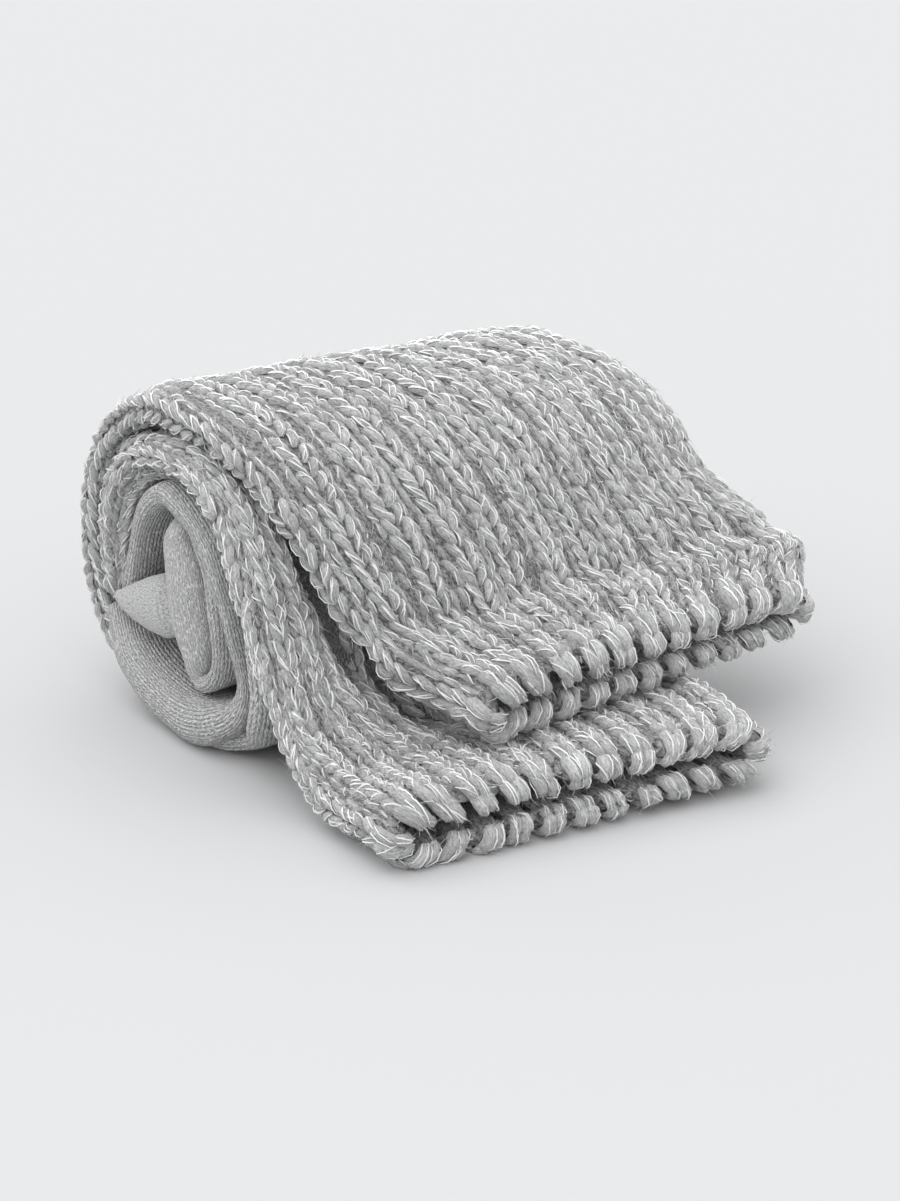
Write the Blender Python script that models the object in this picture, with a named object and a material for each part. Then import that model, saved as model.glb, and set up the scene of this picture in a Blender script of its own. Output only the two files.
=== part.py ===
"""A pair of chunky ribbed boot socks, laid together and rolled up from the toes.

Each sock is a flattened tube.  The upper sock starts at its cuff in front, climbs over the roll, comes down
behind it and turns into the smooth foot that lies under the roll.  The lower sock starts at its own cuff on
the ground, climbs inside the upper one and ends at the ankle.  The rest of both feet is rolled up inside as
one rounded core with layered ends.

X points towards the cuffs, Y runs along the roll, Z is up.  Tables are in millimetres.
"""

import math
from collections import namedtuple

import bmesh
import bpy
import numpy as np

METRES = 0.001

# The knit: one by one rib in chunky yarn.
RIBS_AROUND = 24
POINTS_PER_RIB = 4
RIB_CREST = (0.0, 0.8, 1.0, 0.8)

# The cuff mouth.
WALL = 7.0
MOUTH_GAP = 2.6
SLIT_GAP = 1.0
SLIT_DEPTH = 30.0
SCALLOP_DEPTH = 1.6
LIP_ANGLES = (45.0, 90.0, 135.0)

UPPER_SECTIONS = 33
LOWER_SECTIONS = 21

# One row for each section of a flattened sock, from the cuff to the far end of the stretch.
# x, z: middle of the section; near, far: its two folds along Y; thick: both layers with their ribs;
# slant, tilt: how far the section leans towards the cuff, and outwards, for each millimetre of Y;
# ribs: height of the ribs.
Section = namedtuple("Section", "x z near far thick slant tilt ribs")

UPPER_SOCK = (
    Section(71.5, 27.4, 36.0, 143.5, 16.5, 0.00, 0.045, 1.7),
    Section(65.0, 29.6, 32.0, 145.5, 15.2, 0.00, 0.040, 1.7),
    Section(58.0, 33.6, 26.0, 147.5, 13.2, 0.00, 0.030, 1.5),
    Section(51.0, 39.7, 21.0, 146.5, 12.0, 0.00, 0.015, 1.5),
    Section(44.0, 47.8, 16.5, 142.0, 11.5, 0.00, 0.000, 1.5),
    Section(37.5, 57.3, 12.5, 136.0, 11.0, 0.00, 0.000, 1.5),
    Section(30.5, 66.3, 9.0, 130.5, 10.6, 0.00, 0.000, 1.4),
    Section(21.5, 73.6, 6.5, 127.0, 10.5, 0.00, 0.000, 1.4),
    Section(11.0, 78.9, 4.5, 124.5, 10.5, 0.00, 0.000, 1.4),
    Section(-1.0, 81.5, 2.5, 122.5, 10.5, 0.00, 0.000, 1.4),
    Section(-13.5, 81.2, 1.0, 120.5, 10.5, 0.00, 0.000, 1.4),
    Section(-25.5, 76.6, 0.0, 119.5, 10.5, 0.00, 0.000, 1.4),
    Section(-35.3, 68.2, -1.5, 118.5, 10.5, 0.00, 0.000, 1.4),
    Section(-41.5, 57.0, -2.5, 117.5, 10.5, 0.00, 0.000, 1.4),
    Section(-43.7, 44.5, -3.0, 117.0, 10.5, 0.00, 0.000, 1.3),
    Section(-42.5, 32.0, -3.0, 116.0, 10.0, 0.00, 0.000, 1.0),
    Section(-38.2, 21.0, -3.0, 115.0, 8.6, 0.00, 0.000, 0.5),
    Section(-30.5, 11.8, -2.0, 114.0, 7.2, 0.00, 0.000, 0.0),
    Section(-20.0, 5.8, 0.0, 114.0, 6.6, 0.00, 0.000, 0.0),
    Section(-9.0, 3.2, 1.5, 114.0, 6.4, 0.00, 0.000, 0.0),
    Section(3.0, 3.2, 2.0, 114.0, 6.4, 0.00, 0.000, 0.0),
    Section(13.0, 4.0, 1.5, 114.0, 6.4, 0.00, 0.000, 0.0),
    Section(22.0, 7.4, 1.0, 114.0, 6.2, 0.00, 0.000, 0.0),
    Section(28.0, 13.4, 1.0, 114.0, 5.8, 0.00, 0.000, 0.0),
    Section(29.5, 20.5, 1.5, 113.0, 5.4, 0.00, 0.000, 0.0),
    Section(26.8, 28.5, 2.5, 113.0, 5.0, 0.00, 0.000, 0.0),
    Section(23.0, 36.0, 4.0, 112.0, 4.4, 0.00, 0.000, 0.0),
)

LOWER_SOCK = (
    Section(91.5, 8.2, 1.5, 101.5, 17.0, 0.19, 0.000, 1.7),
    Section(81.0, 8.0, 1.5, 103.5, 16.0, 0.16, 0.000, 1.7),
    Section(69.5, 7.6, 1.0, 105.5, 15.2, 0.12, 0.000, 1.5),
    Section(58.5, 8.2, 0.5, 106.5, 14.0, 0.07, 0.000, 1.5),
    Section(49.5, 12.5, 0.0, 106.0, 12.5, 0.04, 0.000, 1.5),
    Section(42.5, 20.0, 0.0, 106.0, 11.5, 0.02, 0.000, 1.5),
    Section(36.5, 30.0, 0.0, 106.0, 11.0, 0.00, 0.000, 1.5),
    Section(31.0, 41.0, 0.0, 107.0, 11.0, 0.00, 0.000, 1.4),
    Section(25.5, 51.8, 0.0, 108.0, 10.6, 0.00, 0.000, 1.4),
    Section(19.0, 61.2, 0.0, 110.0, 10.4, 0.00, 0.000, 1.4),
    Section(9.5, 67.8, 0.0, 112.0, 10.4, 0.00, 0.000, 1.4),
    Section(-1.5, 70.3, -0.5, 113.0, 10.4, 0.00, 0.000, 1.4),
    Section(-12.0, 69.7, -1.0, 114.0, 10.4, 0.00, 0.000, 1.4),
    Section(-21.3, 65.6, -1.5, 114.0, 10.4, 0.00, 0.000, 1.4),
    Section(-28.3, 58.6, -2.0, 114.0, 10.2, 0.00, 0.000, 1.3),
    Section(-32.0, 49.5, -2.5, 113.0, 10.0, 0.00, 0.000, 1.2),
    Section(-33.2, 40.0, -3.0, 112.0, 9.2, 0.00, 0.000, 0.9),
    Section(-32.6, 32.0, -2.5, 112.0, 7.0, 0.00, 0.000, 0.4),
)

# Outline of the rolled feet, seen along the roll, with the place of its near and far end faces.
CORE_NEAR = 4.0
CORE_FAR = 109.0
CORE_MIDDLE = (-1.0, 35.0)
CORE_ANGLES = 56
CORE_OUTLINE = (
    (-34.0, 25.5),
    (-28.5, 19.0),
    (-20.0, 11.8),
    (-9.5, 7.1),
    (3.0, 6.9),
    (12.5, 7.7),
    (20.0, 11.1),
    (24.6, 16.0),
    (25.8, 21.5),
    (22.6, 29.0),
    (19.0, 36.5),
    (18.8, 43.0),
    (16.6, 51.0),
    (11.5, 58.2),
    (4.0, 62.6),
    (-3.5, 64.2),
    (-11.5, 63.2),
    (-19.0, 58.8),
    (-24.2, 51.5),
    (-26.8, 43.0),
    (-27.8, 35.0),
    (-28.8, 28.5),
)

# One row for each ring of the core's ends, from the middle out.  share: ring's size as a share of the
# outline; height: how far it stands out, so that lips and grooves part the layers; hollow: how much less it
# stands out where the near end is hollow.
CoreRing = namedtuple("CoreRing", "share height hollow")
CORE_RINGS = (
    CoreRing(0.14, 5.2, 0.0),
    CoreRing(0.28, 4.4, 0.0),
    CoreRing(0.38, 1.8, 4.0),
    CoreRing(0.44, -1.6, 12.0),
    CoreRing(0.50, 1.4, 17.0),
    CoreRing(0.60, 3.6, 18.0),
    CoreRing(0.69, 1.6, 15.0),
    CoreRing(0.75, -1.2, 5.0),
    CoreRing(0.81, 1.4, 0.0),
    CoreRing(0.89, 3.4, 0.0),
    CoreRing(0.96, 2.2, 0.0),
    CoreRing(1.00, 0.0, 0.0),
)
CORE_BODY_SHIFT = (4.0, 0.0)
HOLLOW_DIRECTION = 155.0
HOLLOW_SPREAD = 58.0

# The near end of the pair is a little taller than its far end.
TALLER_NEAR = 0.018
LENGTH_ALONG_ROLL = 120.0

YARN_GREY = (0.46, 0.465, 0.47, 1.0)


def remove_all_objects():
    """Start from an empty scene."""
    for item in list(bpy.data.objects):
        bpy.data.objects.remove(item, do_unlink=True)


def cloth_material(name, colour):
    """Matt knitted cloth."""
    material = bpy.data.materials.new(name)
    material.use_nodes = True
    shader = material.node_tree.nodes["Principled BSDF"]
    shader.inputs["Base Color"].default_value = colour
    shader.inputs["Roughness"].default_value = 0.9
    shader.inputs["Metallic"].default_value = 0.0
    return material


def smooth_rows(rows, count):
    """Rows read from a smooth curve through the table, evenly spaced along it, with each one's direction."""
    table = np.array(rows, float)
    steps = np.linalg.norm(np.diff(table[:, :2], axis=0), axis=1)
    place = np.concatenate([[0.0], np.cumsum(steps)])
    slope = np.gradient(table, place, axis=0)
    wanted = np.linspace(0.0, place[-1], count)
    row = np.clip(np.searchsorted(place, wanted, side="right") - 1, 0, len(steps) - 1)
    width = steps[row][:, None]
    t = (wanted - place[row])[:, None] / width
    start, end = table[row], table[row + 1]
    leave, arrive = slope[row] * width, slope[row + 1] * width
    value = (
        (2 * t**3 - 3 * t**2 + 1) * start
        + (t**3 - 2 * t**2 + t) * leave
        + (3 * t**2 - 2 * t**3) * end
        + (t**3 - t**2) * arrive
    )
    direction = np.gradient(value[:, :2], wanted, axis=0)
    direction /= np.linalg.norm(direction, axis=1)[:, None]
    return [Section(*row_value) for row_value in value], direction


def flat_tube_point(turn, half_width, half_thick):
    """Point and outward direction at a fraction of the way round a flattened tube, from its near fold."""
    straight = 2.0 * (half_width - half_thick)
    fold = math.pi * half_thick
    along = (turn % 1.0) * 2.0 * (straight + fold) + fold / 2
    if along >= 2.0 * (straight + fold):
        along -= 2.0 * (straight + fold)
    if along < fold:
        middle, angle = -straight / 2, -math.pi / 2 - along / half_thick
    elif along < fold + straight:
        middle, angle = -straight / 2 + along - fold, math.pi / 2
    elif along < 2 * fold + straight:
        middle, angle = straight / 2, math.pi / 2 - (along - fold - straight) / half_thick
    else:
        middle, angle = straight / 2 - (along - 2 * fold - straight), -math.pi / 2
    out_across, out_up = math.cos(angle), math.sin(angle)
    return middle + half_thick * out_across, half_thick * out_up, out_across, out_up


def section_ring(section, direction, inset=0.0, ribs=1.0, forward=0.0, scallop=0.0):
    """One ring of points round a section, its ribs raised outwards from a plain tube."""
    tangent_x, tangent_z = direction
    normal_x, normal_z = tangent_z, -tangent_x
    middle_y = (section.near + section.far) / 2
    half_width = (section.far - section.near) / 2 - section.ribs - inset
    half_thick = section.thick / 2 - section.ribs - inset
    points = []
    for index in range(RIBS_AROUND * POINTS_PER_RIB):
        turn = (index - POINTS_PER_RIB / 2) / (RIBS_AROUND * POINTS_PER_RIB)
        crest = RIB_CREST[index % POINTS_PER_RIB]
        across, up, out_across, out_up = flat_tube_point(turn, half_width, half_thick)
        raised = section.ribs * ribs * crest
        across += out_across * raised
        up += out_up * raised + section.tilt * across
        along = forward + scallop * crest + section.slant * across
        x = section.x - tangent_x * along + normal_x * up
        z = section.z - tangent_z * along + normal_z * up
        points.append((x, middle_y + across, max(z, 0.0)))
    return points


def mouth_rings(sections, directions):
    """Rings of the rounded scalloped lip, then of the plain slit behind it, from outside to inside."""
    cuff = sections[0]
    rings = []
    inner = cuff.thick / 2 - cuff.ribs - MOUTH_GAP / 2
    for angle in LIP_ANGLES:
        turn = math.radians(angle)
        inset = inner * (1.0 - math.cos(turn)) / 2
        forward = WALL / 2 * math.sin(turn)
        rings.append(section_ring(cuff, directions[0], inset, (1.0 + math.cos(turn)) / 2, forward, SCALLOP_DEPTH))
    rings.append(section_ring(cuff, directions[0], inner, 0.0))
    deep = 1
    travelled = 0.0
    while travelled < SLIT_DEPTH:
        before, here = sections[deep - 1], sections[deep]
        travelled += math.hypot(here.x - before.x, here.z - before.z)
        rings.append(section_ring(here, directions[deep], here.thick / 2 - here.ribs - SLIT_GAP / 2, 0.0))
        deep += 1
    return rings


def zip_end(mesh, ring):
    """Close a flattened ring with a strip of faces from its one layer to the other."""
    count = len(ring)
    for index in range(count // 2):
        a, b = ring[index], ring[(index + 1) % count]
        c, d = ring[(count - index - 1) % count], ring[(count - index) % count]
        corners = [a, b, c, d]
        distinct = [corner for place, corner in enumerate(corners) if corner not in corners[:place]]
        if len(distinct) > 2:
            mesh.faces.new(distinct)


def bridge(mesh, first, second):
    """Join two rings of the same number of points."""
    count = len(first)
    for index in range(count):
        after = (index + 1) % count
        mesh.faces.new((first[index], first[after], second[after], second[index]))


def finish_object(name, mesh, colour):
    """Turn a closed bmesh into an object with its own material, faces pointing out."""
    bmesh.ops.recalc_face_normals(mesh, faces=mesh.faces)
    bmesh.ops.triangulate(mesh, faces=mesh.faces)
    data = bpy.data.meshes.new(name)
    mesh.to_mesh(data)
    mesh.free()
    data.shade_smooth()
    data.set_sharp_from_angle(angle=math.radians(60))
    data.materials.append(cloth_material(name + "_cloth", colour))
    item = bpy.data.objects.new(name, data)
    bpy.context.scene.collection.objects.link(item)
    return item


def make_sock(name, rows, count):
    """A flattened ribbed tube through its sections, open at the cuff as a plain slit."""
    sections, directions = smooth_rows(rows, count)
    mesh = bmesh.new()
    rings = [section_ring(section, direction) for section, direction in zip(sections, directions)]
    rings = rings[::-1] + mouth_rings(sections, directions)
    loops = [[mesh.verts.new(point) for point in ring] for ring in rings]
    for first, second in zip(loops[:-1], loops[1:]):
        bridge(mesh, first, second)
    half_rib = POINTS_PER_RIB // 2
    for loop in (loops[0], loops[-1]):
        from_fold = loop[half_rib:] + loop[:half_rib]
        zip_end(mesh, from_fold)
    return finish_object(name, mesh, YARN_GREY)


def outline_radius(angle):
    """Distance from the core's middle to its outline, in a direction."""
    middle = np.array(CORE_MIDDLE)
    ray = np.array([math.cos(angle), math.sin(angle)])
    corners = np.array(CORE_OUTLINE)
    for start, end in zip(corners, np.roll(corners, -1, axis=0)):
        side = end - start
        across = ray[0] * side[1] - ray[1] * side[0]
        if abs(across) < 1e-9:
            continue
        to_start = start - middle
        reach = (to_start[0] * side[1] - to_start[1] * side[0]) / across
        share = (to_start[0] * ray[1] - to_start[1] * ray[0]) / across
        if reach > 0 and -1e-9 <= share <= 1 + 1e-9:
            return reach
    return 0.0


def hollow_share(angle):
    """How far into the hollow a direction lies: 1 in its middle, 0 beyond its sides."""
    away = abs((math.degrees(angle) - HOLLOW_DIRECTION + 180.0) % 360.0 - 180.0)
    if away >= HOLLOW_SPREAD:
        return 0.0
    return 0.5 + 0.5 * math.cos(math.pi * (away / HOLLOW_SPREAD) ** 2)


def core_end(mesh, y, outward, hollow):
    """One layered end of the core; returns its outermost ring."""
    angles = [2 * math.pi * index / CORE_ANGLES for index in range(CORE_ANGLES)]
    radii = [outline_radius(angle) for angle in angles]
    rings = []
    for row in CORE_RINGS:
        middle_x = CORE_MIDDLE[0] + CORE_BODY_SHIFT[0] * (1.0 - row.share)
        middle_z = CORE_MIDDLE[1] + CORE_BODY_SHIFT[1] * (1.0 - row.share)
        ring = []
        for angle, radius in zip(angles, radii):
            height = row.height - hollow * row.hollow * hollow_share(angle)
            x = middle_x + radius * row.share * math.cos(angle)
            z = middle_z + radius * row.share * math.sin(angle)
            ring.append(mesh.verts.new((x, y + outward * height, z)))
        rings.append(ring)
    centre_x = CORE_MIDDLE[0] + CORE_BODY_SHIFT[0]
    centre_z = CORE_MIDDLE[1] + CORE_BODY_SHIFT[1]
    centre = mesh.verts.new((centre_x, y + outward * CORE_RINGS[0].height, centre_z))
    for index in range(CORE_ANGLES):
        mesh.faces.new((centre, rings[0][index], rings[0][(index + 1) % CORE_ANGLES]))
    for first, second in zip(rings[:-1], rings[1:]):
        bridge(mesh, first, second)
    return rings[-1]


def make_core():
    """The rolled feet: one rounded solid along the roll, its two ends layered."""
    mesh = bmesh.new()
    near = core_end(mesh, CORE_NEAR, -1.0, 1.0)
    far = core_end(mesh, CORE_FAR, 1.0, 0.0)
    bridge(mesh, near, far)
    return finish_object("rolled_feet", mesh, YARN_GREY)


def raise_near_end(items):
    """Make the pair a little taller at its near end than at its far end."""
    for item in items:
        for vertex in item.data.vertices:
            vertex.co.z *= 1.0 + TALLER_NEAR * (1.0 - 2.0 * vertex.co.y / LENGTH_ALONG_ROLL)


def centre_on_floor(items):
    """Put the pair's bounding box over the origin, in metres, resting on Z = 0."""
    points = np.array([vertex.co[:] for item in items for vertex in item.data.vertices])
    low, high = points.min(axis=0), points.max(axis=0)
    shift = np.array([(low[0] + high[0]) / 2, (low[1] + high[1]) / 2, low[2]])
    for item in items:
        for vertex in item.data.vertices:
            vertex.co = (np.array(vertex.co[:]) - shift) * METRES


remove_all_objects()
pair = [
    make_sock("upper_sock", UPPER_SOCK, UPPER_SECTIONS),
    make_sock("lower_sock", LOWER_SOCK, LOWER_SECTIONS),
    make_core(),
]
raise_near_end(pair)
centre_on_floor(pair)
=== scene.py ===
"""Looks of a rolled pair of chunky rib boot socks: yarn stitches on the flattened socks, smooth fine-knit
feet rolled up inside, a pale floor and soft studio light.  Sizes are in millimetres unless a comment says
otherwise.  The sections are the part's, fitted a little closer to the photo."""

import math
from collections import namedtuple

import bpy
import numpy as np
from mathutils import Matrix, Vector


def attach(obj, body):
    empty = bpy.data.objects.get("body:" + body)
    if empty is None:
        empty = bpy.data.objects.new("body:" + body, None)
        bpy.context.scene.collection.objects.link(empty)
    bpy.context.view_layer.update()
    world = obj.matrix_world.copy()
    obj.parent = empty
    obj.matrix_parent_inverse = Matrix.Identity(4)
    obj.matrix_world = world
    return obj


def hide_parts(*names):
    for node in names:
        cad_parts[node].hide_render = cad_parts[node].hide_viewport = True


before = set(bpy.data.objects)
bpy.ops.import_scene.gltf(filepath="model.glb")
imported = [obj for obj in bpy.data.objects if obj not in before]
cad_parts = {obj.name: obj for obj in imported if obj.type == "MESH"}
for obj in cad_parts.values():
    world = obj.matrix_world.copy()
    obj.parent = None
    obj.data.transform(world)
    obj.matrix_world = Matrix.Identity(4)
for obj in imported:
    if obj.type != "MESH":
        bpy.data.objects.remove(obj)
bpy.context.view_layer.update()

METRES = 0.001
SEED = 7

# ---------------------------------------------------------------- the socks' sizes
RIBS_AROUND = 24
RIB_ROUNDNESS = 2.6
CHUNKY_RIBS = 1.0  # a section with higher ribs than this belongs to the cuff or leg
TALLER_NEAR = 0.03  # share by which the roll is taller at its near end, and lower at its far end
LENGTH_ALONG_ROLL = 120.0
TABLE_MIDDLE = (28.223, 72.244)  # where the row frame's origin lies in the tables' x and y
ABOVE_FLOOR = 0.02

# The cuff's lip, where the knit turns over and goes inside.
LIP_WALL = 7.0
LIP_REACH = 6.0  # how far from the middle of the lip the stitches change for it
MOUTH_GAP = 5.2  # between the two layers, at the mouth
SLIT_GAP = 1.0  # and from SLIT_NARROWS further in
SLIT_NARROWS = 12.0
CUFF_INSIDE = 22.0  # how far in the cuff's inside goes
KNOB_LENGTH = 4.2  # each rib ends in a knob that stands out along the sock
KNOB_REACH = 5.5
KNOB_MIDDLE = 0.6  # height of the rib profile that is neither pushed out nor drawn in
KNOB_DROOP = 0.9  # share of its length by which a knob of the top layer hangs down
TOP_SHORT = 2.4  # how much shorter the cuff's top layer is, drawn in over its first TOP_SHORT_REACH
TOP_SHORT_REACH = 25.0

# x, z: middle of the section; near, far: its two folds along Y; thick: both layers with their ribs;
# slant, tilt: how far the section leans towards the cuff, and outwards, for each millimetre of Y;
# ribs: height of the ribs.
Section = namedtuple("Section", "x z near far thick slant tilt ribs")

UPPER_SOCK = (
    Section(71.5, 27.4, 36.0, 141.5, 16.5, 0.00, 0.045, 1.7),
    Section(65.0, 29.6, 32.0, 146.0, 15.2, 0.00, 0.055, 1.7),
    Section(58.0, 33.8, 26.0, 149.0, 13.6, 0.00, 0.066, 1.5),
    Section(51.0, 39.9, 21.0, 147.0, 12.2, 0.00, 0.060, 1.5),
    Section(44.0, 47.8, 16.5, 142.0, 11.5, 0.00, 0.028, 1.5),
    Section(37.5, 57.3, 12.5, 135.5, 11.0, 0.00, 0.000, 1.5),
    Section(30.5, 66.3, 9.0, 134.0, 10.6, 0.00, 0.000, 1.4),
    Section(21.5, 73.6, 6.5, 132.5, 10.5, 0.00, 0.000, 1.4),
    Section(11.0, 78.6, 4.5, 129.5, 10.5, 0.00, 0.000, 1.4),
    Section(-1.0, 81.0, 2.5, 124.5, 10.5, 0.00, 0.000, 1.4),
    Section(-13.5, 81.0, 1.0, 121.5, 10.5, 0.00, 0.000, 1.4),
    Section(-25.5, 76.6, 0.0, 119.5, 10.5, 0.00, 0.000, 1.4),
    Section(-35.3, 68.2, -1.5, 118.5, 10.5, 0.00, 0.000, 1.4),
    Section(-41.5, 57.0, -2.5, 117.5, 10.5, 0.00, 0.000, 1.4),
    Section(-43.7, 44.5, -3.0, 117.0, 10.5, 0.00, 0.000, 1.3),
    Section(-42.5, 32.0, -3.4, 116.0, 10.0, 0.00, 0.000, 1.0),
    Section(-38.4, 20.8, -3.0, 115.0, 9.2, 0.00, 0.000, 0.5),
    Section(-31.0, 11.6, -2.4, 114.5, 8.0, 0.00, 0.000, 0.0),
    Section(-20.5, 5.7, -1.8, 114.5, 7.2, 0.00, 0.000, 0.0),
    Section(-9.0, 3.2, -1.0, 114.5, 6.4, 0.00, 0.000, 0.0),
    Section(3.0, 3.2, -0.6, 114.0, 6.4, 0.00, 0.000, 0.0),
    Section(13.0, 4.0, 1.0, 114.0, 6.4, 0.00, 0.000, 0.0),
    Section(22.0, 7.4, 4.0, 114.0, 6.2, 0.00, 0.000, 0.0),
    Section(28.0, 13.4, 1.0, 114.0, 5.8, 0.00, 0.000, 0.0),
    Section(29.5, 20.5, 1.5, 113.0, 5.4, 0.00, 0.000, 0.0),
    Section(26.8, 28.5, 2.5, 113.0, 5.0, 0.00, 0.000, 0.0),
    Section(23.0, 36.0, 4.0, 112.0, 4.4, 0.00, 0.000, 0.0),
)

LOWER_SOCK = (
    Section(90.5, 9.0, 1.5, 101.5, 17.0, 0.19, 0.040, 1.7),
    Section(81.0, 8.9, 1.5, 104.0, 16.0, 0.16, 0.045, 1.7),
    Section(69.5, 8.3, 1.0, 106.0, 15.2, 0.12, 0.040, 1.5),
    Section(58.5, 8.2, 0.5, 106.5, 14.0, 0.07, 0.000, 1.5),
    Section(49.5, 12.5, 0.0, 106.0, 12.5, 0.04, 0.000, 1.5),
    Section(42.5, 20.0, 0.0, 106.0, 11.5, 0.02, 0.000, 1.5),
    Section(36.5, 30.0, 0.0, 106.0, 11.0, 0.00, 0.000, 1.5),
    Section(31.0, 41.0, 0.0, 107.0, 11.0, 0.00, 0.000, 1.4),
    Section(25.5, 51.8, 0.0, 108.0, 10.6, 0.00, 0.000, 1.4),
    Section(19.0, 61.2, 0.0, 110.0, 10.4, 0.00, 0.000, 1.4),
    Section(9.5, 67.8, 0.0, 112.0, 10.4, 0.00, 0.000, 1.4),
    Section(-1.5, 70.3, -0.5, 113.0, 10.4, 0.00, 0.000, 1.4),
    Section(-12.0, 69.7, -1.0, 114.0, 10.4, 0.00, 0.000, 1.4),
    Section(-21.6, 65.9, -1.8, 114.0, 11.2, 0.00, 0.000, 1.4),
    Section(-28.9, 59.0, -2.6, 114.0, 11.6, 0.00, 0.000, 1.3),
    Section(-32.8, 49.5, -3.1, 113.0, 11.6, 0.00, 0.000, 1.2),
    Section(-34.0, 40.0, -3.4, 112.0, 10.8, 0.00, 0.000, 0.9),
    Section(-33.4, 31.5, -3.0, 112.0, 8.4, 0.00, 0.000, 0.4),
)

# The fine-knit feet rolled up inside, each a flattened tube seen along the roll, from its outer end inwards.
INNER_FEET = {
    "foot_outer_turn": (
        Section(-35.4, 24.0, -1.8, 110.0, 7.0, 0, 0, 0),
        Section(-31.8, 18.7, -2.8, 110.0, 11.6, 0, 0, 0),
        Section(-27.2, 14.4, -4.0, 110.0, 14.6, 0, 0, 0),
        Section(-16.6, 9.8, -5.0, 110.0, 15.0, 0, 0, 0),
        Section(-5.5, 7.2, -4.6, 110.0, 13.2, 0, 0, 0),
        Section(5.8, 7.2, -3.8, 110.0, 12.0, 0, 0, 0),
        Section(14.0, 9.4, -2.2, 110.0, 9.8, 0, 0, 0),
        Section(19.6, 13.4, 0.6, 110.0, 7.6, 0, 0, 0),
        Section(21.8, 19.6, 2.2, 110.0, 5.8, 0, 0, 0),
        Section(20.9, 26.6, 2.2, 110.0, 5.0, 0, 0, 0),
        Section(19.5, 33.5, 1.2, 110.5, 4.6, 0, 0, 0),
        Section(18.8, 40.0, 0.2, 111.0, 4.8, 0, 0, 0),
        Section(17.0, 47.0, -1.0, 111.0, 5.6, 0, 0, 0),
        Section(13.0, 53.4, -1.2, 111.0, 6.2, 0, 0, 0),
        Section(7.2, 58.0, -1.4, 112.0, 6.2, 0, 0, 0),
        Section(0.8, 61.0, -1.5, 112.0, 5.6, 0, 0, 0),
        Section(-5.7, 62.2, -1.5, 112.0, 5.2, 0, 0, 0),
        Section(-13.2, 58.5, -1.5, 112.0, 5.2, 0, 0, 0),
        Section(-19.7, 49.8, -1.5, 111.0, 5.2, 0, 0, 0),
        Section(-23.6, 40.5, -1.5, 111.0, 5.2, 0, 0, 0),
        Section(-25.4, 33.5, -1.6, 111.0, 5.0, 0, 0, 0),
        Section(-27.4, 29.8, -1.8, 111.0, 3.4, 0, 0, 0),
    ),
    "foot_inner_turn": (
        Section(-10.5, 22.4, 8.0, 109.0, 3.4, 0, 0, 0),
        Section(-6.5, 18.4, 4.0, 109.0, 4.4, 0, 0, 0),
        Section(0.0, 16.0, 1.4, 109.0, 4.8, 0, 0, 0),
        Section(7.0, 16.7, -0.4, 109.0, 4.8, 0, 0, 0),
        Section(12.2, 20.4, -0.6, 109.0, 4.8, 0, 0, 0),
        Section(15.0, 26.6, -0.8, 109.0, 4.6, 0, 0, 0),
        Section(15.2, 33.5, -0.8, 109.0, 4.4, 0, 0, 0),
        Section(14.4, 40.5, -0.8, 109.5, 4.2, 0, 0, 0),
        Section(12.4, 47.0, -0.6, 109.5, 4.0, 0, 0, 0),
        Section(9.0, 52.2, -0.4, 109.5, 3.6, 0, 0, 0),
        Section(5.6, 55.4, 0.0, 109.0, 2.8, 0, 0, 0),
    ),
    "foot_toe": (
        Section(5.6, 14.6, 2.0, 109.0, 3.0, 0, 0, 0),
        Section(3.8, 19.0, 0.0, 109.0, 8.5, 0, 0, 0),
        Section(2.6, 25.0, -1.0, 108.0, 14.5, 0, 0, 0),
        Section(1.2, 32.0, -1.6, 107.0, 18.0, 0, 0, 0),
        Section(0.0, 39.0, -2.0, 107.0, 18.4, 0, 0, 0),
        Section(-1.4, 45.5, -1.8, 107.0, 16.0, 0, 0, 0),
        Section(-2.6, 51.5, -1.0, 108.0, 11.5, 0, 0, 0),
        Section(-2.6, 56.6, 1.6, 108.0, 4.0, 0, 0, 0),
    ),
    "foot_fold": (
        Section(-28.2, 29.2, -4.2, 110.0, 2.2, 0, 0, 0),
        Section(-24.5, 29.5, -4.0, 110.0, 6.0, 0, 0, 0),
        Section(-19.5, 30.1, -3.6, 110.0, 10.5, 0, 0, 0),
        Section(-13.5, 30.8, -3.0, 109.0, 14.5, 0, 0, 0),
        Section(-7.5, 31.8, -2.0, 108.0, 15.5, 0, 0, 0),
        Section(-3.5, 32.5, 1.5, 107.0, 10.0, 0, 0, 0),
    ),
}


# ---------------------------------------------------------------- the yarn's sizes
YARN_RADIUS = 1.1
VALLEY_RADIUS = 0.95
THREAD_RADIUS = 0.185
FATTER_AT_LIP = 0.58
YARN_VARIES = (0.86, 1.1)
THREAD_VARIES = (0.7, 1.15)
FIBRE_VARIES = (0.6, 1.2)
STRAND_ARC = math.radians(112.0)  # how far round to each side of its top a strand is made
STRAND_TAPER = 0.6
YARN_STRIPS = 4
VALLEY_STRIPS = 3
THREAD_STRIPS = 2
LEG_RINGS = 6
THREAD_RINGS = 5
FIBRE_RINGS = 3
FIBRE_NARROWS = (1.0, 0.9, 0.35)
FIBRE_LONGEST = 4.0

# One course is one stitch along a rib: its length, and how the lengths vary.
COURSE = 3.85
COURSE_VARIES = (0.93, 1.08)
START_VARIES = 0.5
TONES = (0.15, 0.85)
TONE_VARIES = 0.25
LIFT_VARIES = 0.14

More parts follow.
